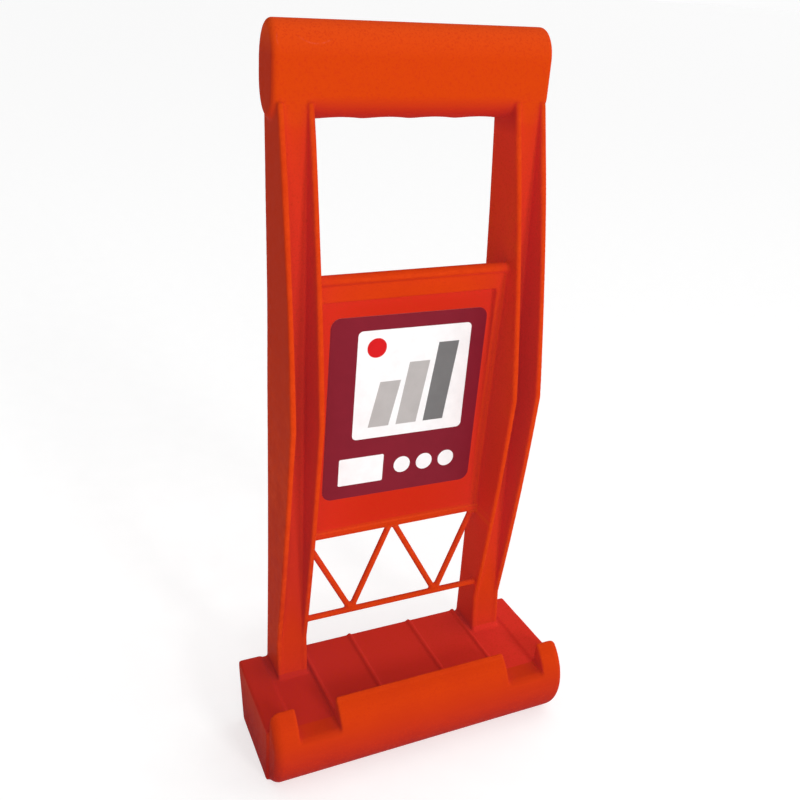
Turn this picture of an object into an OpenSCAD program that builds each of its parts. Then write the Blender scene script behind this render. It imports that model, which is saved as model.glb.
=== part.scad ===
// Panel carrier: a one-hand carrier for boards, moulded in one piece, with a label.
// The moulding is drawn as its members, which meet face to face.
// Units are millimetres, +Z is up and the tray faces -Y.
// The origin is on the floor, under the front face of the legs, midway across.

/* [Foot] */
// Width of the foot at its nose
foot_w = 162; // [130:1:200]
// Height of the tray floor above the ground
foot_h = 30.5; // [20:0.1:40]
// Depth of the foot behind the front face of the legs
foot_back = 19.7; // [14:0.1:30]
// Wall of the nose, the ends and the base
foot_wall = 3; // [2:0.1:4]
// Thickness of the tray floor
floor_t = 3; // [2:0.1:5]
// How far each end widens from its back edge to the lip
end_draft = 1.3; // [0.4:0.1:3]
// Step at each end where the nose starts
end_step = 1; // [0:0.1:2]
// Thickness of the ribs under the tray
foot_rib_t = 2.4; // [1.5:0.1:4]
// How far the underside of the foot stops short of its back edge
heel_in = 9.5; // [4:0.1:11]
// How far the ribs under the tray stop short of the back edge
foot_rib_inset = 1.5; // [0.5:0.1:5]

/* [Tray] */
// Clear depth between the legs and the lip
tray_gap = 34.4; // [20:0.1:60]
// Height of the lip above the tray floor
lip_h = 12.9; // [8:0.1:25]
// How far the underside of the nose reaches in front of the legs
base_front = 36.8; // [25:0.1:65]
// How far the nose bulges in front of a line from lip to base
nose_bulge = 11.5; // [4:0.1:16]
// Radius of the round at each end of the nose and the lip
nose_end_r = 4.5; // [1:0.5:7]
// Side gap between a leg and the lip beside it
lip_gap_side = 1.9; // [1:0.1:6]
// Width of the lip's ears at the ends of the foot
ear_w = 12.6; // [8:0.1:20]
// Bevel at the front edge of each gap in the lip
gap_bevel = 2; // [0.5:0.1:2.5]
// Height of the floor pads above the strips in front of the legs
pad_t = 0.8; // [0.4:0.1:1.5]
// Height of the ridges above the floor pads
ridge_h = 0.6; // [0.3:0.1:1.5]
// Width of each ridge
ridge_w = 1.8; // [1:0.1:3]
// Distance of the inner ridges from the middle
ridge_x = 18; // [10:0.5:30]

/* [Rails] */
// Clear width between the rails
opening_w = 98.4; // [85:0.1:125]
// Width of each rail
rail_w = 16; // [11:0.1:22]
// Thickness of each flange
flange_t = 2.5; // [1.6:0.1:4]
// Thickness of each web
web_t = 2.8; // [1.6:0.1:4]
// Height of the plain foot of each rail
shoe_h = 21.5; // [12:0.5:30]
// How far the rail steps back at the top of its foot
shoe_back = 2.5; // [0.5:0.1:5]
// Height of the front bend above the tray floor
bend_h = 149.5; // [120:0.5:175]
// How far the front bend stands out in front of the legs
bend_out = 11.6; // [4:0.1:18]
// How far the front edge below the bend bows out
lower_bow = 1.4; // [0.5:0.1:4]
// How far the front edge above the bend bows out
front_bow = 2.2; // [0.5:0.1:5]
// Height above the tray floor where the back edge starts to lean
lean_h = 4; // [0:1:110]
// How far the back edge leans back by the handle
lean_back = 14.2; // [4:0.1:20]

/* [Handle] */
// Height of the top of the handle above the tray floor
handle_top = 318.9; // [290:0.1:380]
// Height of the handle's section
handle_h = 40; // [30:0.5:46]
// Depth of the handle's section
handle_d = 21.1; // [18:0.1:30]
// Corner radius of the handle's section
handle_r = 10.5; // [5:0.5:12]
// How far the handle's front face is set back from the legs
handle_back = 16; // [8:0.1:22]
// How far each end of the handle reaches past the rail
handle_over = 2.1; // [1:0.1:10]
// Radius of the handle's corners, seen from the front
handle_corner_r = 7; // [3:0.5:12]
// Radius of the handle's corners, seen from above
handle_end_r = 4; // [1:0.5:8]
// Spacing of the finger grooves
finger_pitch = 23; // [19:0.5:26]
// Depth of the finger grooves
finger_depth = 1.1; // [0.4:0.1:2]
// How far the rails stand out from the handle's front at their tops
rail_step = 0.8; // [0.3:0.1:1.5]

/* [Panel] */
// Height of the lower edge of the panel above the tray floor
panel_low = 75.8; // [65:0.1:95]
// Height of the upper edge of the panel above the tray floor
panel_high = 212.2; // [185:0.1:225]
// Set-back of the panel's face from the legs
panel_back = 11.2; // [7:0.1:14]
// Thickness of the panel
panel_t = 2.6; // [1.6:0.1:4]
// Diameter of the bead along the top
top_bead_d = 5; // [3.5:0.1:7]
// Diameter of the bead along the bottom
low_bead_d = 5.4; // [3.5:0.1:7]
// How far the frame round the label stands out at the top
frame_out = 4.4; // [2:0.1:7]
// Width of the frame beside the label field
frame_side = 4; // [2:0.1:8]
// Height of the frame above the label field
frame_top = 11; // [7:0.1:16]
// Height above the tray floor where the frame runs out
frame_end = 105; // [98:1:140]

/* [Truss] */
// Height of the bar above the tray floor
bar_h = 31; // [26:0.1:45]
// Set-back of the bar's middle from the legs
bar_back = 4.4; // [3:0.1:7]
// Diameter of the bar and the braces
rod_d = 3.4; // [2.4:0.1:4.5]
// Number of V-shaped pairs of braces
brace_pairs = 2; // [1:1:3]

/* [Label] */
// Width of the label
label_w = 82; // [60:1:90]
// Height of the label
label_h = 96.5; // [70:0.5:110]
// Corner radius of the label
label_r = 5; // [2:0.5:10]
// Thickness of the label
label_t = 0.3; // [0.2:0.05:0.6]
// Height of the label's lower edge above the tray floor
label_low = 95.2; // [90:0.1:100]
// How far the label was stuck on off the middle
label_off = 1.3; // [0:0.1:2]
// How far the label was stuck on askew, in degrees
label_turn = 0.8; // [0:0.1:2]

/* [Hidden] */
$fn = 96;

// Facets of the very large circles
large_fn = 1440;
// A length that reaches past every face that is cut
past = 10;
rail_in = opening_w / 2;
rail_out = rail_in + rail_w;
foot_half = foot_w / 2;
end_half = foot_half + end_step;
end_inner = foot_half - foot_wall;
lip_in = rail_in - lip_gap_side;
ear_in = foot_half - ear_w;
handle_low = handle_top - handle_h;
handle_half = rail_out + handle_over;
handle_rear = handle_back + handle_d;
rail_rear = foot_back + lean_back + past;
// Rails stop at the middle of the handle's lower front corner
rail_top = handle_low + handle_r * 0.8;
frame_low_z = panel_high - frame_top;

// Points of the front edge of a rail, as [set-back, height]
shoe_point = [shoe_back, shoe_h];
bend_point = [-bend_out, bend_h];
top_point = [handle_back - rail_step, rail_top];

// Radius of an arc with this chord and bulge
function bow_r(a, b, bulge) = (pow(norm(b - a) / 2, 2) + bulge * bulge) / (2 * bulge);
// Centre of an arc from a up to b that bulges towards the front
function bow_mid(a, b, bulge) = (a + b) / 2
    + [b[1] - a[1], a[0] - b[0]] / norm(b - a) * (bow_r(a, b, bulge) - bulge);

lower_radius = bow_r(shoe_point, bend_point, lower_bow);
lower_centre = bow_mid(shoe_point, bend_point, lower_bow);
bow_radius = bow_r(bend_point, top_point, front_bow);
bow_centre = bow_mid(bend_point, top_point, front_bow);
lean_r = (pow(handle_low - lean_h, 2) + lean_back * lean_back) / (2 * lean_back);
nose_low = [-base_front, -foot_h];
nose_high = [-tray_gap, lip_h];
nose_r = bow_r(nose_low, nose_high, nose_bulge);
nose_mid = bow_mid(nose_low, nose_high, nose_bulge);
nose_front = nose_mid[0] - nose_r;

// Raises what is drawn from the tray floor to its place above the ground
module on_tray() {
    translate([0, 0, foot_h])
        children();
}

// Extrudes an outline of [set-back, height] across the part from x0 to x1
module across(x0, x1) {
    translate([x0, 0, 0])
        rotate([90, 0, 90])
            linear_extrude(x1 - x0)
                children();
}

// Extrudes an outline of [across, height] from set-back y0 to y1
module through(y0, y1) {
    translate([0, y1, 0])
        rotate([90, 0, 0])
            linear_extrude(y1 - y0)
                children();
}

// Rectangle with rounded corners, from its lower left corner
module round_rect(w, h, r) {
    translate([r, 0])
        square([w - 2 * r, h]);
    translate([0, r])
        square([w, h - 2 * r]);
    for (x = [r, w - r], y = [r, h - r])
        translate([x, y])
            circle(r);
}

// Section of the handle
module handle_outline() {
    translate([handle_back, handle_low])
        round_rect(handle_d, handle_h, handle_r);
}

// Shallow grooves across the underside of the handle
module finger_grooves() {
    groove_r = (pow(finger_pitch / 2, 2) + finger_depth * finger_depth) / (2 * finger_depth);
    for (i = [-1.5:1:1.5])
        translate([i * finger_pitch, handle_back - past, handle_low + finger_depth - groove_r])
            rotate([-90, 0, 0])
                cylinder(r = groove_r, h = handle_d + 2 * past, $fn = large_fn);
}

module handle_body() {
    intersection() {
        across(-handle_half, handle_half)
            handle_outline();
        translate([-handle_half, handle_back, handle_low - past])
            linear_extrude(handle_h + 2 * past)
                round_rect(2 * handle_half, handle_d, handle_end_r);
        translate([0, 0, handle_low])
            through(handle_back - past, handle_rear + past)
                translate([-handle_half, 0])
                    round_rect(2 * handle_half, handle_h, handle_corner_r);
    }
}

module handle() {
    color("orangered")
        on_tray()
            difference() {
                handle_body();
                finger_grooves();
            }
}

// Side view of a rail: bowed below and above its bend, and leaning back towards the top
module rail_outline() {
    far_front = -bend_out - 2 * past;
    difference() {
        polygon([[far_front, 0], [far_front, rail_top], [rail_rear, rail_top], [rail_rear, lean_h],
                 [foot_back, lean_h], [foot_back, 0]]);
        difference() {
            polygon([[0, 0], shoe_point, bend_point, [-bend_out - past, bend_h + past],
                     [far_front - past, bend_h + past], [far_front - past, -past], [0, -past]]);
            translate(lower_centre)
                circle(lower_radius, $fn = large_fn);
        }
        difference() {
            translate([far_front - past, bend_h])
                square([handle_back - far_front + past, rail_top - bend_h + past]);
            translate(bow_centre)
                circle(bow_radius, $fn = large_fn);
        }
        translate([foot_back + lean_r, lean_h])
            circle(lean_r, $fn = large_fn);
        handle_outline();
    }
}

// Side view of a web, which runs from the foot of the rail to the handle's front face
module web_outline() {
    difference() {
        polygon([[0, 0], shoe_point, [handle_back, rail_top], [handle_back + web_t, rail_top],
                 [shoe_back + web_t, shoe_h], [web_t, 0]]);
        handle_outline();
    }
}

module flange(x0) {
    color("orangered")
        on_tray()
            across(x0, x0 + flange_t)
                rail_outline();
}

module web(x0) {
    color("darkorange")
        on_tray()
            across(x0, x0 + rail_w - 2 * flange_t)
                web_outline();
}

module left_outer_flange() {
    flange(-rail_out);
}

module left_web() {
    web(-rail_out + flange_t);
}

module left_inner_flange() {
    flange(-rail_in - flange_t);
}

module right_outer_flange() {
    flange(rail_out - flange_t);
}

module right_web() {
    web(rail_in + flange_t);
}

module right_inner_flange() {
    flange(rail_in);
}

module top_bead_rod() {
    across(-rail_in, rail_in)
        translate([panel_back - frame_out + top_bead_d * 0.1, panel_high])
            circle(d = top_bead_d);
}

module low_bead_rod() {
    across(-rail_in, rail_in)
        translate([panel_back + panel_t - low_bead_d * 0.1, panel_low])
            circle(d = low_bead_d);
}

module bar_rod() {
    across(-rail_in, rail_in)
        translate([bar_back, bar_h])
            circle(d = rod_d);
}

module top_bead() {
    color("orange")
        on_tray()
            top_bead_rod();
}

module low_bead() {
    color("orange")
        on_tray()
            low_bead_rod();
}

module truss_bar() {
    color("orange")
        on_tray()
            bar_rod();
}

// Flat plate that carries the label
module label_field() {
    color("coral")
        on_tray()
            difference() {
                across(-rail_in, rail_in)
                    translate([panel_back, panel_low])
                        square([panel_t, frame_low_z - panel_low]);
                low_bead_rod();
            }
}

// Frame over the label field: it slopes out towards the top and runs out lower down
module panel_frame() {
    slope = frame_out / (panel_high - frame_end);
    low_y = panel_back - slope * (frame_low_z - frame_end);
    high_y = panel_back - frame_out;
    color("coral")
        on_tray()
            difference() {
                union() {
                    across(-rail_in, rail_in)
                        polygon([[low_y, frame_low_z], [high_y, panel_high], [high_y + panel_t, panel_high],
                                 [low_y + panel_t, frame_low_z + panel_t],
                                 [panel_back + panel_t, frame_low_z + panel_t],
                                 [panel_back + panel_t, frame_low_z]]);
                    for (x = [-rail_in, rail_in - frame_side])
                        across(x, x + frame_side)
                            polygon([[panel_back, frame_end], [low_y, frame_low_z], [panel_back, frame_low_z]]);
                }
                top_bead_rod();
            }
}

// One brace from the low bead at x0 to the bar at x1
module brace(x0, x1) {
    top = [x0, panel_back + panel_t - low_bead_d * 0.1, panel_low];
    foot = [x1, bar_back, bar_h];
    run = foot - top;
    length = norm(run);
    difference() {
        intersection() {
            translate(top)
                rotate([0, acos(run[2] / length), atan2(run[1], run[0])])
                    cylinder(d = rod_d, h = length);
            translate([min(x0, x1), bar_back - past, bar_h])
                cube([abs(x1 - x0), panel_back + 2 * past, panel_low - bar_h]);
        }
        low_bead_rod();
        bar_rod();
    }
}

// Zigzag of braces between the low bead and the bar
module truss_braces() {
    span = opening_w / brace_pairs;
    color("gold")
        on_tray()
            for (i = [0:brace_pairs - 1]) {
                brace(-rail_in + i * span, -rail_in + (i + 0.5) * span);
                brace(-rail_in + (i + 1) * span, -rail_in + (i + 0.5) * span);
            }
}

// Full roll of the nose and the lip, turned about their middle line, with rounded ends
module nose_roll() {
    translate([0, nose_mid[0], nose_mid[1]])
        rotate([0, 90, 0])
            rotate_extrude()
                intersection() {
                    translate([-nose_r, -foot_half])
                        round_rect(2 * nose_r, foot_w, nose_end_r);
                    translate([0, -foot_half])
                        square([nose_r, foot_w]);
                }
}

// Foot between its ends and between two heights: the nose and a block behind it
module foot_layer(z0, z1) {
    intersection() {
        union() {
            nose_roll();
            translate([-foot_half, -tray_gap, -foot_h - past])
                cube([foot_w, tray_gap + foot_back, foot_h + 2 * past]);
        }
        translate([-end_inner, nose_front - past, z0])
            cube([2 * end_inner, foot_back - nose_front + 2 * past, z1 - z0]);
    }
}

// Side view of the foot behind its nose, with a sloping heel under the back edge
module heel_outline() {
    polygon([[nose_front - past, -foot_h], [foot_back - heel_in, -foot_h], [foot_back, -floor_t],
             [foot_back, pad_t], [nose_front - past, pad_t]]);
}

// Hollow of the foot, open at the back
module foot_hollow_outline() {
    intersection() {
        translate([nose_front - past, -foot_h + foot_wall])
            square([foot_back - nose_front + 2 * past, foot_h - foot_wall - floor_t]);
        union() {
            translate(nose_mid)
                circle(nose_r - foot_wall);
            translate([-base_front + foot_wall, -foot_h])
                square([base_front + foot_back + past, foot_h]);
        }
    }
}

// Floor of the tray, with a bevel where the lip is open in front of each leg
module tray_floor() {
    edge_y = nose_mid[0] - sqrt(nose_r * nose_r - nose_mid[1] * nose_mid[1]);
    color("sandybrown")
        on_tray()
            difference() {
                foot_layer(-floor_t, 0);
                for (x = [-ear_in, lip_in])
                    across(x, x + ear_in - lip_in)
                        polygon([[edge_y + gap_bevel, 0], [edge_y + gap_bevel, past],
                                 [edge_y - past, past], [edge_y - past, -gap_bevel],
                                 [edge_y - gap_bevel, -gap_bevel]]);
            }
}

// Room that the feet of the rails take up on the tray floor
module rail_feet() {
    for (x = [-rail_out, rail_in])
        translate([x, 0, 0])
            cube([rail_w, foot_back + past, past]);
}

// Raised floor between the legs and outside them
module floor_pads() {
    color("burlywood")
        on_tray()
            difference() {
                for (span = [[-end_inner, -ear_in], [-lip_in, lip_in], [ear_in, end_inner]])
                    translate([span[0], -tray_gap, 0])
                        cube([span[1] - span[0], tray_gap + foot_back, pad_t]);
                rail_feet();
            }
}

// Low ridges on the raised floor, from front to back
module floor_ridges() {
    color("wheat")
        on_tray()
            for (x = [-lip_in + ridge_w / 2, -ridge_x, ridge_x, lip_in - ridge_w / 2])
                translate([x - ridge_w / 2, -tray_gap, pad_t])
                    cube([ridge_w, tray_gap + foot_back, ridge_h]);
}

module nose_wall() {
    color("tomato")
        on_tray()
            difference() {
                foot_layer(-foot_h + foot_wall, -floor_t);
                across(-foot_half, foot_half)
                    foot_hollow_outline();
            }
}

module base_plate() {
    color("peru")
        on_tray()
            intersection() {
                foot_layer(-foot_h, -foot_h + foot_wall);
                across(-end_inner, end_inner)
                    heel_outline();
            }
}

// Ribs under the tray, below the inner ridges and the flanges of the rails
module foot_ribs() {
    color("chocolate")
        on_tray()
            intersection() {
                for (x = [ridge_x, rail_in + flange_t / 2, rail_out - flange_t / 2], side = [-1, 1])
                    across(side * x - foot_rib_t / 2, side * x + foot_rib_t / 2)
                        foot_hollow_outline();
                across(-end_inner, end_inner)
                    translate([-foot_rib_inset, 0])
                        heel_outline();
            }
}

// Closed end of the foot: it narrows towards the back, and the nose is stepped in
module foot_end() {
    on_tray() {
        difference() {
            intersection() {
                translate([0, 0, -foot_h])
                    linear_extrude(foot_h + pad_t)
                        polygon([[end_inner, -tray_gap], [end_half, -tray_gap],
                                 [end_half - end_draft, foot_back], [end_inner, foot_back]]);
                across(end_inner, end_half)
                    heel_outline();
            }
            rail_feet();
        }
        intersection() {
            translate([end_inner, nose_front - past, -foot_h])
                cube([foot_wall, -tray_gap - nose_front + past, foot_h]);
            nose_roll();
        }
    }
}

module left_end() {
    color("firebrick")
        mirror([1, 0, 0])
            foot_end();
}

module right_end() {
    color("firebrick")
        foot_end();
}

// Lip in front of the tray, cut from the roll of the nose
module lip(x0, x1) {
    on_tray()
        intersection() {
            translate([x0, nose_front - past, 0])
                cube([x1 - x0, -tray_gap - nose_front + past, lip_h + past]);
            nose_roll();
        }
}

module centre_lip() {
    color("red")
        lip(-lip_in, lip_in);
}

module left_ear() {
    color("red")
        lip(-foot_half, -ear_in);
}

module right_ear() {
    color("red")
        lip(ear_in, foot_half);
}

// Paper label, stuck on the flat field
module label() {
    color("maroon")
        on_tray()
            through(panel_back - label_t, panel_back)
                translate([label_off, label_low + label_h / 2])
                    rotate(-label_turn)
                        translate([-label_w / 2, -label_h / 2])
                            round_rect(label_w, label_h, label_r);
}

handle();
left_outer_flange();
left_web();
left_inner_flange();
right_outer_flange();
right_web();
right_inner_flange();
label_field();
panel_frame();
top_bead();
low_bead();
truss_braces();
truss_bar();
tray_floor();
floor_pads();
floor_ridges();
nose_wall();
base_plate();
foot_ribs();
left_end();
right_end();
centre_lip();
left_ear();
right_ear();
label();
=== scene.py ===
"""Panel carrier: the moulded body with soft edges and fillets, its label, a pale floor, light and camera."""
import math

import bmesh
import bpy
import numpy as np
import openvdb
from mathutils import Matrix, Vector


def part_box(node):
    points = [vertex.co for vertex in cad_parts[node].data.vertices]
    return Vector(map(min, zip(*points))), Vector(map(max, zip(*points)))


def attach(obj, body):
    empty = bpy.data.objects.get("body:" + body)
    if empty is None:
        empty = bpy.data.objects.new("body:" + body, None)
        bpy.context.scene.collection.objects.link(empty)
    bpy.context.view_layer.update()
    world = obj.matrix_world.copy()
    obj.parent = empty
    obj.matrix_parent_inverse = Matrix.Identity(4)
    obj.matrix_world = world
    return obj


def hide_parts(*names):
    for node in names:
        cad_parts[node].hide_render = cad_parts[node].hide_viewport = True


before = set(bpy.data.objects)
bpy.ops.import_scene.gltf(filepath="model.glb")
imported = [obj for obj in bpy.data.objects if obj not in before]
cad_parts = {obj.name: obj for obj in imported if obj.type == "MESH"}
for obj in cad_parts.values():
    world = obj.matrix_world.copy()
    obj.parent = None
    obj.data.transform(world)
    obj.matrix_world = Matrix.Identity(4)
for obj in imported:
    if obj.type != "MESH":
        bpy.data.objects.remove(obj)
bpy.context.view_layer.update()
scene = bpy.context.scene

MM = 0.001

# The nodes that each visible piece of the moulding stands for
MEMBERS = {
    "grip": ["handle"],
    "left_rail": ["left_outer_flange", "left_web", "left_inner_flange"],
    "right_rail": ["right_outer_flange", "right_web", "right_inner_flange"],
    "panel": ["label_field", "panel_frame", "top_bead", "low_bead"],
    "truss": ["truss_braces", "truss_bar"],
    "foot": ["tray_floor", "floor_pads", "floor_ridges", "nose_wall", "base_plate", "foot_ribs",
             "left_end", "right_end", "centre_lip", "left_ear", "right_ear"],
}

# The moulding's skin is drawn round a grid of filled cells, in millimetres
CELL = 0.5
MARGIN = 4.0
# Cells that the distance to a node's surface is worked out for, and cells that are kept round a node
LEVEL_REACH = 3.0
NODE_PAD = 2
# Spread of the blur that rounds the edges and fills the corners
SOFTNESS = 0.55
# Spread of the wider blur that finds edges and corners for the wear and the painted edge highlights
WEAR_AND_HIGHLIGHT_REACH = 2.0
# Share of the skin's triangles that is kept
KEEP = 0.2
# Leg of the wedge that fills the corner at the foot of each rail, and the depth where the wedge ends
FOOT_FILLET = 2.2
FILLET_REAR = 1.0
# Nodes that are also filled a little further out, so that their relief stays crisp under the blur
FLANGE_RELIEF = (0.0, -0.6, 0.0)
RELIEF = {
    "floor_ridges": (0.0, 0.0, 0.5),
    "low_bead": (0.0, -1.2, 0.0),
    "left_outer_flange": FLANGE_RELIEF,
    "left_inner_flange": FLANGE_RELIEF,
    "right_outer_flange": FLANGE_RELIEF,
    "right_inner_flange": FLANGE_RELIEF,
}
# Heights of the quarter-ovals of the grip's section: at its back, its upper front and its lower front
GRIP_BACK = 17.0
GRIP_UPPER = 14.0
GRIP_LOWER = 10.5
# Radius of the grip's end rims, and how far its finger grooves stay from its ends
GRIP_RIM = 2.5
GROOVE_END = 10.0
# Share by which the upper part draws in towards the grip, and the heights where that starts and ends
DRAW_IN = 0.0125
DRAW_LOW = 149.5
DRAW_HIGH = 300.0

# Places that the CAD parts give, in millimetres
HANDLE_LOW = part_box("handle")[0][2] / MM
HANDLE_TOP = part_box("handle")[1][2] / MM
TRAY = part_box("tray_floor")[1][2] / MM
TRAY_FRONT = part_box("centre_lip")[1][1] / MM
PANEL_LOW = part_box("low_bead")[0][2] / MM
FIELD_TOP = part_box("label_field")[1][2] / MM
RAIL_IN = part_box("right_inner_flange")[0][0] / MM
RAIL_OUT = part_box("right_outer_flange")[1][0] / MM

# Hidden planes where the members are parted, in millimetres
HANDLE_CUT = HANDLE_LOW - 3.0
FOOT_CUT = TRAY + 6.0
SIDE_CUT = RAIL_IN - 5.0
PANEL_CUT = PANEL_LOW - 2.0
# What lies in front of this belongs to the foot
LIP_REAR = -22.0


def mesh_points(mesh, kind):
    """Places of a mesh's points, one row each, in numbers of this kind."""
    points = np.empty(len(mesh.vertices) * 3, kind)
    mesh.vertices.foreach_get("co", points)
    return points.reshape(-1, 3)


def mesh_corners(mesh):
    """Index of the point at each corner of a mesh's faces."""
    corners = np.empty(len(mesh.loops), int)
    mesh.loops.foreach_get("vertex_index", corners)
    return corners


def node_points(name):
    """Points in millimetres and triangles of a CAD node, drawn in towards the grip."""
    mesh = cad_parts[name].data
    mesh.calc_loop_triangles()
    corners = np.empty(len(mesh.loop_triangles) * 3, np.int32)
    mesh.loop_triangles.foreach_get("vertices", corners)
    points = mesh_points(mesh, np.float32) / MM
    rise = np.clip((points[:, 2] - DRAW_LOW) / (DRAW_HIGH - DRAW_LOW), 0.0, 1.0)
    points[:, 0] *= 1.0 - DRAW_IN * rise
    return points, corners.reshape(-1, 3)


def cell_share(depth):
    """Share of a cell that is filled, from the depth of its middle inside a surface."""
    return np.clip(0.5 + depth / CELL, 0.0, 1.0)


def cell_places(shape, first):
    """Coordinates in millimetres of a block of cells, as three thin arrays."""
    return np.meshgrid(*[(np.arange(n) + start) * CELL for n, start in zip(shape, first)],
                       indexing="ij", sparse=True)


def blurred(field, spread):
    """The field after a Gaussian blur, with the spread counted in cells."""
    reach = int(math.ceil(3 * spread))
    steps = range(-reach, reach + 1)
    weights = [math.exp(-0.5 * (step / spread) ** 2) for step in steps]
    total = sum(weights)
    for axis in range(3):
        smooth = np.zeros_like(field)
        for step, weight in zip(steps, weights):
            smooth += np.roll(field, step, axis) * np.float32(weight / total)
        field = smooth
    return field


def oval_grip(share, first):
    """The handle with a softer, oval section; the finger grooves of the given shares are kept."""
    x, y, z = cell_places(share.shape, first)
    start, end = (np.array(p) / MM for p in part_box("handle"))
    middle, half = (start + end) / 2, (end - start) / 2
    half[0] *= 1.0 - DRAW_IN
    cap = np.where(y > middle[1], GRIP_BACK, np.where(z < middle[2], GRIP_LOWER, GRIP_UPPER))
    rise = np.maximum(np.abs(z - middle[2]) - (half[2] - cap), 0.0) / cap
    section = (np.hypot(rise, (y - middle[1]) / half[1]) - 1.0) * half[1] + GRIP_RIM
    along = np.abs(x) - half[0] + GRIP_RIM
    away = np.minimum(np.maximum(section, along), 0.0) - GRIP_RIM
    away = away + np.hypot(np.maximum(section, 0.0), np.maximum(along, 0.0))
    oval = cell_share(-away)
    grooved = (z < middle[2]) & (np.abs(x) < half[0] - GROOVE_END)
    return np.where(grooved, np.minimum(oval, share), oval).astype(np.float32)


def filled_cells(names):
    """The share of each cell that the nodes fill, and the index of the first cell."""
    boxes = np.array([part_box(name) for name in names]) / MM
    low = np.floor((boxes[:, 0].min(0) - MARGIN) / CELL).astype(int)
    high = np.ceil((boxes[:, 1].max(0) + MARGIN) / CELL).astype(int)
    fill = np.zeros(high - low + 1, np.float32)
    grid_steps = openvdb.createLinearTransform(voxelSize=CELL)
    jobs = [(name, (0.0, 0.0, 0.0)) for name in names] + list(RELIEF.items())
    for name, nudge in jobs:
        points, corners = node_points(name)
        points = points + np.array(nudge, np.float32)
        level = openvdb.FloatGrid.createLevelSetFromPolygons(
            points, triangles=corners, transform=grid_steps, halfWidth=LEVEL_REACH)
        first = np.floor(points.min(0) / CELL).astype(int) - NODE_PAD
        last = np.ceil(points.max(0) / CELL).astype(int) + NODE_PAD
        block = np.empty(last - first + 1, np.float32)
        level.copyToArray(block, ijk=tuple(int(i) for i in first))
        share = cell_share(-block)
        if name == "handle":
            share = oval_grip(share, first)
        a, b = first - low, last - low + 1
        fill[a[0]:b[0], a[1]:b[1], a[2]:b[2]] += share
    return np.minimum(fill, 1.0), low


def add_foot_fillets(fill, low):
    """Fills a wedge where the front of each rail meets the tray floor."""
    x, y, z = cell_places(fill.shape, low)
    depth = FOOT_FILLET - (z - TRAY) + y
    wedge = cell_share(depth / math.sqrt(2)) * (y < FILLET_REAR) * (z > TRAY)
    across = cell_share(np.abs(x) - RAIL_IN) * cell_share(RAIL_OUT - np.abs(x))
    rows = slice(int(TRAY / CELL) - low[2] - 1, int((TRAY + FOOT_FILLET) / CELL) - low[2] + 3)
    fillet = (wedge[:, :, rows] * across).astype(np.float32)
    fill[:, :, rows] = np.maximum(fill[:, :, rows], fillet)


def skin_mesh(field, low):
    """Mesh of the surface where the cells are half full, in metres."""
    grid = openvdb.FloatGrid(0.5)
    grid.copyFromArray(0.5 - field)
    points, corners, quads = grid.convertToPolygons(isovalue=0.0, adaptivity=0.0)
    mesh = bpy.data.meshes.new("skin")
    mesh.from_pydata(((points + low) * CELL * MM).tolist(), [], quads.tolist() + corners.tolist())
    mesh.update()
    return mesh


def thinned(mesh, keep):
    """The mesh with fewer triangles where it is flat."""
    holder = bpy.data.objects.new("skin", mesh)
    scene.collection.objects.link(holder)
    modifier = holder.modifiers.new("thin", "DECIMATE")
    modifier.ratio = keep
    ready = holder.evaluated_get(bpy.context.evaluated_depsgraph_get())
    fewer = bpy.data.meshes.new_from_object(ready)
    bpy.data.objects.remove(holder)
    return fewer


def cut_skin(mesh):
    """Cuts edges into the skin along all the planes where members are parted."""
    shape = bmesh.new()
    shape.from_mesh(mesh)
    planes = [((0, 0, height), (0, 0, 1)) for height in (HANDLE_CUT, FOOT_CUT, PANEL_CUT)]
    planes += [((side, 0, 0), (1, 0, 0)) for side in (-SIDE_CUT, SIDE_CUT)]
    planes.append(((0, LIP_REAR, 0), (0, 1, 0)))
    for place, normal in planes:
        everything = shape.verts[:] + shape.edges[:] + shape.faces[:]
        bmesh.ops.bisect_plane(shape, geom=everything, dist=1e-7,
                               plane_co=Vector(place) * MM, plane_no=normal)
    bmesh.ops.triangulate(shape, faces=shape.faces[:])
    shape.to_mesh(mesh)
    shape.free()


def face_members(centres):
    """Name of the member that each face belongs to, from the middle of the face in millimetres."""
    x, y, z = centres.T
    names = np.where(z > PANEL_CUT, "panel", "truss").astype("U16")
    names[x < -SIDE_CUT] = "left_rail"
    names[x > SIDE_CUT] = "right_rail"
    names[(z < FOOT_CUT) | (y < LIP_REAR)] = "foot"
    names[z > HANDLE_CUT] = "grip"
    return names


def edge_wear_and_highlight(points):
    """How much each point in metres lies on an outer edge (1), on a flat (0.5) or in a corner (0)."""
    cell = np.round((points / (CELL * MM) - low) / 2).astype(int)
    return np.clip(1.0 - wide[tuple(np.minimum(cell, np.array(wide.shape) - 1).T)], 0.0, 1.0)


def slopes(points):
    """Outward directions of the skin at points in metres."""
    place = points / (CELL * MM) - low
    base = np.floor(place).astype(int)
    part = place - base
    total = np.zeros_like(place)
    for corner in np.ndindex(2, 2, 2):
        cell = base + np.array(corner)
        weight = np.prod(np.where(np.array(corner) == 1, part, 1.0 - part), axis=1)
        for axis in range(3):
            step = np.eye(3, dtype=int)[axis]
            ahead = field[tuple((cell + step).T)]
            behind = field[tuple((cell - step).T)]
            total[:, axis] += weight * (behind - ahead)
    return total / np.maximum(np.linalg.norm(total, axis=1), 1e-9)[:, None]


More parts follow.
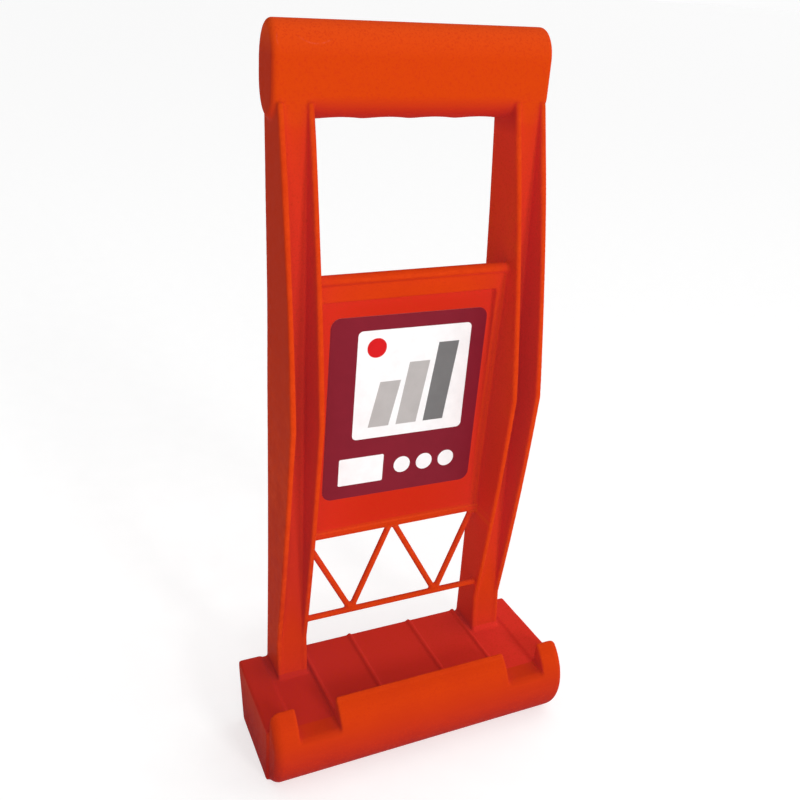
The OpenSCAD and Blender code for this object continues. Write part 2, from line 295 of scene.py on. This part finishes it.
def member_mesh(name, points, corners):
    """Closed mesh of one member, smooth over the skin and flat where it was parted."""
    used, corners = np.unique(corners, return_inverse=True)
    mesh = bpy.data.meshes.new(name)
    mesh.from_pydata(points[used].tolist(), [], corners.reshape(-1, 3).tolist())
    skin_faces = len(mesh.polygons)
    shape = bmesh.new()
    shape.from_mesh(mesh)
    bmesh.ops.holes_fill(shape, edges=[e for e in shape.edges if e.is_boundary], sides=0)
    shape.to_mesh(mesh)
    shape.free()
    mesh.polygons.foreach_set("use_smooth", np.ones(len(mesh.polygons), bool))
    place = mesh_points(mesh, np.float64)
    normals = slopes(place)[mesh_corners(mesh)]
    for cap in mesh.polygons[skin_faces:]:
        for loop in cap.loop_indices:
            normals[loop] = cap.normal
    mesh.normals_split_custom_set(normals.tolist())
    # Edge amount for the wear and the painted edge highlights
    wear_and_highlight = mesh.attributes.new("wear_and_highlight", "FLOAT", "POINT")
    wear_and_highlight.data.foreach_set("value", edge_wear_and_highlight(place))
    return mesh


field, low = filled_cells([n for nodes in MEMBERS.values() for n in nodes])
add_foot_fillets(field, low)
wide = blurred(field[::2, ::2, ::2], WEAR_AND_HIGHLIGHT_REACH / CELL / 2)
field = blurred(field, SOFTNESS / CELL)
skin = thinned(skin_mesh(field, low), KEEP)
cut_skin(skin)
skin_points = mesh_points(skin, np.float64)
skin_corners = mesh_corners(skin).reshape(-1, 3)
owners = face_members(skin_points[skin_corners].mean(1) / MM)

pieces = []
for name, nodes in MEMBERS.items():
    piece = bpy.data.objects.new(name, member_mesh(name, skin_points, skin_corners[owners == name]))
    scene.collection.objects.link(piece)
    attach(piece, "root")
    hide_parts(*nodes)
    pieces.append(piece)


# Roughness of every noise, and the part of its values that is spread over a range
NOISE_ROUGHNESS = 0.6
NOISE_RANGE = (0.3, 0.7)
# Shares of the radius between which a curved scratch fades out along its arc
ARC_RANGE = (0.8, 0.92)


def new_material(name):
    """A node material, its tree and its main shader."""
    material = bpy.data.materials.new(name)
    material.use_nodes = True
    return material, material.node_tree, material.node_tree.nodes["Principled BSDF"]


def feed(tree, socket, value):
    """Links a socket to another one, or sets it to a plain value."""
    if isinstance(value, bpy.types.NodeSocket):
        tree.links.new(value, socket)
    else:
        socket.default_value = value


def add_node(tree, kind, **settings):
    """A new node, with sockets fed by name (spaces written as underscores)."""
    node = tree.nodes.new(kind)
    for key, value in settings.items():
        feed(tree, node.inputs[key.replace("_", " ")], value)
    return node


def worked_out(tree, kind, operation, values):
    """A new node that works out an operation on these values."""
    node = tree.nodes.new(kind)
    node.operation = operation
    for socket, value in zip(node.inputs, values):
        feed(tree, socket, value)
    return node


def maths(tree, operation, *values):
    """The result of an operation on numbers."""
    return worked_out(tree, "ShaderNodeMath", operation, values).outputs["Value"]


def vector(tree, operation, *values):
    """The vector that an operation on vectors gives."""
    return worked_out(tree, "ShaderNodeVectorMath", operation, values).outputs["Vector"]


def measure(tree, operation, *values):
    """The number that an operation on vectors gives."""
    return worked_out(tree, "ShaderNodeVectorMath", operation, values).outputs["Value"]


def product(tree, a, b):
    """The product of two numbers."""
    return maths(tree, "MULTIPLY", a, b)


def mapped(tree, value, low_in, high_in, low_out, high_out):
    """The value moved from one range to another and held inside it."""
    node = add_node(tree, "ShaderNodeMapRange", Value=value, From_Min=low_in, From_Max=high_in,
                    To_Min=low_out, To_Max=high_out)
    return node.outputs["Result"]


def fade(tree, value, band, start, end):
    """A change from start to end over a band in millimetres."""
    return mapped(tree, value, band[0] * MM, band[1] * MM, start, end)


def above(tree, value, limit, blur):
    """Mask of the values over a limit in millimetres."""
    return fade(tree, value, (limit - blur, limit + blur), 0.0, 1.0)


def below(tree, value, limit, blur):
    """Mask of the values under a limit in millimetres."""
    return fade(tree, value, (limit - blur, limit + blur), 1.0, 0.0)


def between(tree, value, band, blur):
    """Mask of the values in a band in millimetres."""
    return product(tree, above(tree, value, band[0], blur), below(tree, value, band[1], blur))


def noise(tree, scale, detail):
    """Noise in object space, as a value from 0 to 1."""
    place = tree.nodes.new("ShaderNodeTexCoord").outputs["Object"]
    texture = add_node(tree, "ShaderNodeTexNoise", Vector=place, Scale=scale, Detail=detail,
                       Roughness=NOISE_ROUGHNESS)
    return texture.outputs["Fac"]


def uneven(tree, scale, detail, low_out, high_out):
    """Noise spread over a range of values."""
    return mapped(tree, noise(tree, scale, detail), *NOISE_RANGE, low_out, high_out)


def mixed(tree, share, a, b):
    """A blend of two colours; each is a socket or four numbers."""
    node = tree.nodes.new("ShaderNodeMix")
    node.data_type = "RGBA"
    tree.links.new(share, node.inputs["Factor"])
    for socket, colour in zip([i for i in node.inputs if i.type == "RGBA"], (a, b)):
        feed(tree, socket, colour)
    return [o for o in node.outputs if o.type == "RGBA"][0]


def bump(tree, shader, height, strength, distance):
    """Raises the surface of a shader by a height value."""
    node = add_node(tree, "ShaderNodeBump", Height=height, Strength=strength, Distance=distance)
    tree.links.new(node.outputs["Normal"], shader.inputs["Normal"])


def ring_scuff(tree, place, centre, radius, width, side):
    """Mask of a thin curved scratch in the plane of x and z; side is the direction of its middle."""
    flat = vector(tree, "MULTIPLY", place, (1.0, 0.0, 1.0))
    away = vector(tree, "SUBTRACT", flat, (centre[0] * MM, 0.0, centre[1] * MM))
    off = maths(tree, "SUBTRACT", measure(tree, "LENGTH", away), radius * MM)
    line = fade(tree, maths(tree, "ABSOLUTE", off), (0.0, width), 1.0, 0.0)
    along = measure(tree, "DOT_PRODUCT", away, (side[0], 0.0, side[1]))
    arc = fade(tree, along, (radius * ARC_RANGE[0], radius * ARC_RANGE[1]), 0.0, 1.0)
    return product(tree, line, arc)


# Colours of the plastic: its tone, its grain, its rubbed edges with a painted highlight, which also paints
# highlight lines on the low bead, and scratches
BASE = (0.59, 0.042, 0.0038, 1.0)
TONE = (0.56, 0.037, 0.0044, 1.0)
GRAIN = (0.53, 0.030, 0.0060, 1.0)
PALE_WEAR_AND_HIGHLIGHT = (0.67, 0.056, 0.008, 1.0)
SCRATCH = (0.68, 0.10, 0.06, 1.0)
# Painted shade on faces turned away from the light, on the left and on the right
SIDE_SHADE_LEFT = (0.475, 0.030, 0.0085, 1.0)
SIDE_SHADE_RIGHT = (0.67, 0.036, 0.0150, 1.0)
# Painted shade tint and bounce light in recesses, and a painted glow there that stands in for light
RECESS_SHADE = (0.69, 0.032, 0.0130, 1.0)
RECESS_GLOW = (0.012, 0.008, 0.010, 1.0)
# The field round the label, the grip, the painted highlight on the top of the grip, the painted shade under
# it, the painted shade and light on the tray, the painted shade on the left rail low down and the painted
# shade near the ground
FIELD = (0.54, 0.021, 0.0075, 1.0)
GRIP = (0.575, 0.047, 0.0033, 1.0)
GRIP_TOP_HIGHLIGHT = (0.69, 0.066, 0.0080, 1.0)
GRIP_UNDER_SHADE = (0.42, 0.014, 0.0110, 1.0)
TRAY_SHADE_LEFT = (0.51, 0.0245, 0.0165, 1.0)
TRAY_LIGHT_RIGHT = (0.67, 0.0320, 0.0185, 1.0)
LOW_LEFT_SHADE = (0.45, 0.020, 0.0130, 1.0)
GROUND_SHADE = (0.31, 0.010, 0.0110, 1.0)

# Direction of the light that the painted side shade is worked out from, and how far a face may turn from it
# before it is shaded least and most
LIGHT_SIDE = (0.5, -0.7, 0.5)
SIDE_SHADE_RANGE = (-0.35, 0.45)
# Reach in metres of what shades a recess, and the openness that counts as most and least shaded, for the
# painted recess shade and glow
RECESS_REACH = 0.035
RECESS_RANGE = (0.3, 0.97)
# Strength of the plastic's mirror-like reflection
PLASTIC_SHEEN = 0.005

# Bands of the plastic, with bands of painted light and shade, in millimetres
FIELD_BAND = (PANEL_LOW + 5.5, FIELD_TOP)
FIELD_HALF = RAIL_IN - 4.0
BEAD_HIGHLIGHT_LINE = (PANEL_LOW + 4.0, PANEL_LOW + 4.7)
BEAD_HIGHLIGHT_EDGE = (PANEL_LOW - 1.0, PANEL_LOW + 1.5)
GRIP_BAND = (HANDLE_CUT, HANDLE_LOW)
GRIP_HIGHLIGHT_BAND = (HANDLE_TOP - 14.0, HANDLE_TOP - 3.0)
GRIP_SHADE_BAND = (HANDLE_LOW - 2.0, HANDLE_LOW + 6.0)
RECESS_BAND = (10.0, TRAY - 2.0)
RIGHT_BAND = (0.0, 30.0)
LOW_LEFT_BAND = (TRAY + 20.0, 115.0)
LOW_LEFT_EDGE = (-RAIL_IN, 1.0 - RAIL_IN)
GROUND_BAND = (6.0, 36.0)
TRAY_BAND = (TRAY - 0.6, TRAY + 2.4)
TRAY_ACROSS = (-40.0, 70.0)
# Scratches on the grip: centre, radius, width and the side where their middle lies
SCUFFS = (
    ((-47.5, 352.5), 12.0, 0.45, (-0.05, -1.0)),
    ((-61.0, 342.0), 3.4, 0.4, (-1.0, 0.0)),
)


def moulded_plastic():
    """Matte plastic with uneven tone, painted side shade, painted shade and glow in recesses, painted
    highlights and shade on the grip, tray, bead and left rail, rubbed edges with a painted highlight, painted
    shade near the ground and scratches.
    """
    material, tree, shader = new_material("moulded_plastic")
    coordinates = tree.nodes.new("ShaderNodeTexCoord")
    place = coordinates.outputs["Object"]
    x, y, z = add_node(tree, "ShaderNodeSeparateXYZ", Vector=place).outputs
    across = maths(tree, "ABSOLUTE", x)

    colour = mixed(tree, uneven(tree, 45.0, 3.0, 0.0, 1.0), TONE, BASE)
    field_area = product(tree, between(tree, z, FIELD_BAND, 0.2), below(tree, across, FIELD_HALF, 0.2))
    colour = mixed(tree, field_area, colour, FIELD)
    colour = mixed(tree, fade(tree, z, GRIP_BAND, 0.0, 1.0), colour, GRIP)

    # Painted shade on faces turned away from the light, in one tone on the left and another on the right
    facing = measure(tree, "DOT_PRODUCT", coordinates.outputs["Normal"], LIGHT_SIDE)
    turned_from_light = mapped(tree, facing, *SIDE_SHADE_RANGE, 1.0, 0.0)
    side_shade = mixed(tree, fade(tree, x, RIGHT_BAND, 0.0, 1.0), SIDE_SHADE_LEFT, SIDE_SHADE_RIGHT)
    colour = mixed(tree, turned_from_light, colour, side_shade)

    # Painted shade and bounce light in recesses, from how open each place is, fading in higher up
    occlusion = add_node(tree, "ShaderNodeAmbientOcclusion", Distance=RECESS_REACH)
    occlusion.samples = 4
    painted_recess = product(tree, mapped(tree, occlusion.outputs["AO"], *RECESS_RANGE, 1.0, 0.0),
                        fade(tree, z, RECESS_BAND, 0.0, 1.0))
    colour = mixed(tree, painted_recess, colour, RECESS_SHADE)

    # Painted shade on the left rail low down
    left_shade_mask = product(tree, between(tree, z, LOW_LEFT_BAND, 20.0), fade(tree, x, LOW_LEFT_EDGE, 0.45, 0.0))
    colour = mixed(tree, left_shade_mask, colour, LOW_LEFT_SHADE)
    # Painted highlight: the top of the grip is lighter
    colour = mixed(tree, fade(tree, z, GRIP_HIGHLIGHT_BAND, 0.0, 0.8), colour, GRIP_TOP_HIGHLIGHT)
    # Painted shade under the grip, between the rails
    grip_shade = product(tree, between(tree, z, GRIP_SHADE_BAND, 5.0), below(tree, across, RAIL_IN, 1.0))
    colour = mixed(tree, grip_shade, colour, GRIP_UNDER_SHADE)

    # Rubbed edges: real wear on outer edges and a painted highlight there
    wear_and_highlight = tree.nodes.new("ShaderNodeAttribute")
    wear_and_highlight.attribute_name = "wear_and_highlight"
    patchy = mapped(tree, noise(tree, 160.0, 4.0), 0.35, 0.7, 0.1, 0.8)
    rubbed_and_highlit = product(tree, mapped(tree, wear_and_highlight.outputs["Fac"], 0.6, 0.8, 0.0, 1.0), patchy)
    colour = mixed(tree, rubbed_and_highlit, colour, PALE_WEAR_AND_HIGHLIGHT)
    # Painted highlight lines along the top and the lower edge of the low bead
    for band, blur in ((BEAD_HIGHLIGHT_LINE, 0.25), (BEAD_HIGHLIGHT_EDGE, 0.6)):
        highlight_strip = product(tree, between(tree, z, band, blur), below(tree, across, RAIL_IN, 0.2))
        colour = mixed(tree, highlight_strip, colour, PALE_WEAR_AND_HIGHLIGHT)

    # Painted shade, darker towards the ground and a little uneven
    ground_shade = product(tree, fade(tree, z, GROUND_BAND, 1.0, 0.0), uneven(tree, 90.0, 4.0, 0.8, 1.0))
    colour = mixed(tree, ground_shade, colour, GROUND_SHADE)
    # Painted shade on the tray behind the lip, with painted light towards the right
    tray_shade_area = product(tree, between(tree, z, TRAY_BAND, 0.3), above(tree, y, TRAY_FRONT, 0.3))
    tray_light_and_shade = mixed(tree, fade(tree, x, TRAY_ACROSS, 0.0, 1.0), TRAY_SHADE_LEFT, TRAY_LIGHT_RIGHT)
    colour = mixed(tree, tray_shade_area, colour, tray_light_and_shade)

    colour = mixed(tree, mapped(tree, noise(tree, 1100.0, 2.0), 0.5, 0.75, 0.0, 0.7), colour, GRAIN)
    broken = mapped(tree, noise(tree, 700.0, 2.0), 0.4, 0.6, 0.05, 0.45)
    for scuff in SCUFFS:
        scratch = product(tree, ring_scuff(tree, place, *scuff), broken)
        colour = mixed(tree, scratch, colour, SCRATCH)

    tree.links.new(colour, shader.inputs["Base Color"])
    tree.links.new(uneven(tree, 300.0, 3.0, 0.44, 0.56), shader.inputs["Roughness"])
    shader.inputs["Specular IOR Level"].default_value = PLASTIC_SHEEN
    # Painted glow in recesses, which stands in for light
    shader.inputs["Emission Color"].default_value = RECESS_GLOW
    tree.links.new(painted_recess, shader.inputs["Emission Strength"])
    bump(tree, shader, noise(tree, 1600.0, 2.0), strength=0.22, distance=0.0003)
    return material


plastic = moulded_plastic()
for piece in pieces:
    piece.data.materials.append(plastic)

# Label: a film with a plain printed design, drawn in millimetres from its middle
LABEL_SIZE = (82.0, 96.5)
LABEL_ROUND = 5.0
LABEL_TURN = math.radians(0.8)
# Height of one layer of ink, and how far the ink reaches into the film
INK_RISE = 0.04
INK_ROOT = 0.1
# Printed shapes, as left, lower, right and upper edges
PICTURE = (-27, -16, 33, 41)
PICTURE_ROUND = 2.5
RED_DISC = (-22, 27, -12, 37)
RED_ROUND = 4.9
PLATE = (-33, -41, -9, -26)
PLATE_ROUND = 0.8
DISC = (-3, -38, 6, -29)
DISC_ROUND = 4.4
DISC_PITCH = 12.5
DISC_COUNT = 3
# Slanted bars: place of the first one, their pitch, width and lean
BAR_LEFT = -19
BAR_LOW = -10
BAR_PITCH = 15
BAR_WIDTH = 11
BAR_LEAN = 5
# Names and colours of the inks, in the order of their slots
FILM, EDGE, WHITE, LIGHT, GREY, RED = range(6)
INKS = (
    ("label_film", (0.205, 0.0115, 0.024)),
    ("label_edge", (0.50, 0.22, 0.20)),
    ("ink_white", (0.88, 0.88, 0.88)),
    ("ink_light_grey", (0.45, 0.43, 0.42)),
    ("ink_grey", (0.17, 0.17, 0.17)),
    ("ink_red", (0.62, 0.010, 0.012)),
)
# Share of its colour that an ink keeps in its darker spots, and its mirror-like reflection
INK_SHADE = 0.92
INK_SHEEN = 0.06
# Heights and inks of the slanted bars
BARS = ((24, LIGHT), (33, LIGHT), (42, GREY))
# Steps of a rounded corner
CORNER_STEPS = 8


def round_box(x0, z0, x1, z1, radius):
    """Outline of a rectangle with rounded corners."""
    points = []
    for cx, cz, start in ((x1 - radius, z1 - radius, 0), (x0 + radius, z1 - radius, 90),
                          (x0 + radius, z0 + radius, 180), (x1 - radius, z0 + radius, 270)):
        for step in range(CORNER_STEPS + 1):
            angle = math.radians(start + step * 90 / CORNER_STEPS)
            points.append((cx + radius * math.cos(angle), cz + radius * math.sin(angle)))
    return points


def slanted(x, z, width, height, lean):
    """Outline of a bar that leans to the right."""
    return [(x, z), (x + width, z), (x + width + lean, z + height), (x + lean, z + height)]


def printed_shapes():
    """Outline, ink and layer of each printed shape."""
    shapes = [(round_box(*PICTURE, PICTURE_ROUND), WHITE, 1)]
    for i, (height, ink) in enumerate(BARS):
        shapes.append((slanted(BAR_LEFT + i * BAR_PITCH, BAR_LOW, BAR_WIDTH, height, BAR_LEAN), ink, 2))
    shapes.append((round_box(*RED_DISC, RED_ROUND), RED, 2))
    shapes.append((round_box(*PLATE, PLATE_ROUND), WHITE, 1))
    for i in range(DISC_COUNT):
        shift = i * DISC_PITCH
        shapes.append((round_box(DISC[0] + shift, DISC[1], DISC[2] + shift, DISC[3], DISC_ROUND), WHITE, 1))
    return shapes


def add_print(shape, outline, middle, front, back, face_slot, edge_slot):
    """Adds a flat closed solid with this outline round the label's middle, between two set-backs."""
    rings = []
    for depth in (front, back):
        ring = []
        for x, z in outline:
            across = x * math.cos(LABEL_TURN) + z * math.sin(LABEL_TURN)
            height = z * math.cos(LABEL_TURN) - x * math.sin(LABEL_TURN)
            ring.append(shape.verts.new((middle.x + across * MM, depth * MM, middle.z + height * MM)))
        rings.append(ring)
    shape.faces.new(rings[0]).material_index = face_slot
    shape.faces.new(rings[1][::-1]).material_index = face_slot
    count = len(outline)
    for i in range(count):
        j = (i + 1) % count
        side = shape.faces.new((rings[0][j], rings[0][i], rings[1][i], rings[1][j]))
        side.material_index = edge_slot


def label_mesh():
    """Mesh of the film and its ink."""
    low_corner, high_corner = (Vector(p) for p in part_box("label"))
    middle = (low_corner + high_corner) / 2
    front, back = low_corner.y / MM, high_corner.y / MM
    half_w, half_h = LABEL_SIZE[0] / 2, LABEL_SIZE[1] / 2
    film = round_box(-half_w, -half_h, half_w, half_h, LABEL_ROUND)
    shape = bmesh.new()
    add_print(shape, film, middle, front, back, FILM, EDGE)
    for outline, ink, layer in printed_shapes():
        add_print(shape, outline, middle, front - layer * INK_RISE, front + INK_ROOT, ink, ink)
    bmesh.ops.recalc_face_normals(shape, faces=shape.faces[:])
    mesh = bpy.data.meshes.new("label")
    shape.to_mesh(mesh)
    shape.free()
    return mesh


def ink_material(name, tint):
    """Smooth film or ink of one colour, a little uneven."""
    material, tree, shader = new_material(name)
    darker = tuple(INK_SHADE * v for v in tint)
    colour = mixed(tree, uneven(tree, 120.0, 4.0, 0.0, 1.0), darker + (1.0,), tint + (1.0,))
    tree.links.new(colour, shader.inputs["Base Color"])
    tree.links.new(uneven(tree, 400.0, 2.0, 0.42, 0.54), shader.inputs["Roughness"])
    shader.inputs["Specular IOR Level"].default_value = INK_SHEEN
    bump(tree, shader, noise(tree, 900.0, 2.0), strength=0.05, distance=0.0001)
    return material


label = bpy.data.objects.new("label_print", label_mesh())
scene.collection.objects.link(label)
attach(label, "root")
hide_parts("label")
for name, tint in INKS:
    label.data.materials.append(ink_material(name, tint))

# Floor: a pale sheet that is lit a little from below
FLOOR_SIZE = 40
FLOOR_GLOW = 0.58
FLOOR_SHEEN = 0.1
FLOOR_DARK = (0.50, 0.50, 0.50, 1.0)
FLOOR_LIGHT = (0.53, 0.53, 0.53, 1.0)
LIT = (1.0, 1.0, 1.0, 1.0)
bpy.ops.mesh.primitive_plane_add(size=FLOOR_SIZE)
floor = bpy.context.object
floor.name = "floor"
paper, tree, shader = new_material("floor_sheet")
speckle = mixed(tree, uneven(tree, 60.0, 4.0, 0.0, 1.0), FLOOR_DARK, FLOOR_LIGHT)
tree.links.new(speckle, shader.inputs["Base Color"])
tree.links.new(uneven(tree, 90.0, 2.0, 0.85, 0.95), shader.inputs["Roughness"])
shader.inputs["Specular IOR Level"].default_value = FLOOR_SHEEN
shader.inputs["Emission Color"].default_value = LIT
shader.inputs["Emission Strength"].default_value = FLOOR_GLOW
bump(tree, shader, noise(tree, 500.0, 2.0), strength=0.03, distance=0.0002)
floor.data.materials.append(paper)

# Backdrop: a pale dome behind the part on all sides, which neither gives light nor holds it back
DOME_RADIUS = 18
DOME_DARK = (0.02, 0.02, 0.02, 1.0)
bpy.ops.mesh.primitive_uv_sphere_add(segments=96, ring_count=48, radius=DOME_RADIUS)
backdrop = bpy.context.object
backdrop.name = "backdrop"
backdrop.visible_diffuse = False
backdrop.visible_glossy = False
backdrop.visible_transmission = False
backdrop.visible_shadow = False
cloth, tree, shader = new_material("backdrop_cloth")
shader.inputs["Base Color"].default_value = DOME_DARK
shader.inputs["Emission Color"].default_value = LIT
tree.links.new(uneven(tree, 0.2, 2.0, 0.93, 0.97), shader.inputs["Emission Strength"])
backdrop.data.materials.append(cloth)

# Light: a room that is bright overhead, on the right and a little behind, as directions and strengths
ROOM = (((0.0, 0.0, 1.0), 0.86), ((1.0, 0.0, 0.0), 1.75), ((0.0, 1.0, 0.0), 0.40))
world = bpy.data.worlds.new("studio")
scene.world = world
world.use_nodes = True
tree = world.node_tree
direction = tree.nodes.new("ShaderNodeTexCoord").outputs["Generated"]
room_light = 0.0
for side, strength in ROOM:
    facing = measure(tree, "DOT_PRODUCT", direction, side)
    share = mapped(tree, facing, 0.0, 1.0, 0.0, math.sqrt(strength))
    room_light = maths(tree, "ADD", room_light, product(tree, share, share))
tree.links.new(room_light, tree.nodes["Background"].inputs["Strength"])
tree.nodes["Background"].inputs["Color"].default_value = LIT

# Two lamps in front of the part, which point at its middle, in metres
LAMP_AIM = Vector((0, 0, 0.17))
LAMP_DISTANCE = 1.8


def area_light(name, turn, height, size, power):
    """A square soft lamp, turned from the front to the right and raised, in degrees."""
    turn, height = math.radians(turn), math.radians(height)
    away = Vector((math.sin(turn) * math.cos(height), -math.cos(turn) * math.cos(height), math.sin(height)))
    data = bpy.data.lights.new(name, "AREA")
    data.size = size
    data.energy = power
    lamp = bpy.data.objects.new(name, data)
    lamp.location = LAMP_AIM + LAMP_DISTANCE * away
    lamp.rotation_euler = (-away).to_track_quat("-Z", "Y").to_euler()
    scene.collection.objects.link(lamp)


area_light("key", turn=13, height=20, size=0.32, power=9.8)
area_light("fill", turn=-20, height=20, size=1.2, power=9.3)

# Camera: turned to the right and down, with the middle and focal length of the picture in pixels
YAW = math.radians(25.605)
PITCH = math.radians(24.297)
ROLL = math.radians(-3.859)
FOCAL = 936.49
CENTRE = (388.66, 382.93)
SIDE = 800
SENSOR = 36
PLACE = Vector((-186.28, -361.04, TRAY + 342.81)) * MM
ahead = Vector((math.sin(YAW) * math.cos(PITCH), math.cos(YAW) * math.cos(PITCH), -math.sin(PITCH)))
level = Vector((math.cos(YAW), -math.sin(YAW), 0))
down = ahead.cross(level)
right = math.cos(ROLL) * level + math.sin(ROLL) * down
up = math.sin(ROLL) * level - math.cos(ROLL) * down
lens = bpy.data.cameras.new("camera")
lens.sensor_width = SENSOR
lens.lens = SENSOR * FOCAL / SIDE
lens.shift_x = (SIDE / 2 - CENTRE[0]) / SIDE
lens.shift_y = (CENTRE[1] - SIDE / 2) / SIDE
camera = bpy.data.objects.new("camera", lens)
camera.matrix_world = Matrix.Translation(PLACE) @ Matrix((right, up, -ahead)).transposed().to_4x4()
scene.collection.objects.link(camera)
scene.camera = camera
scene.view_settings.view_transform = "Standard"
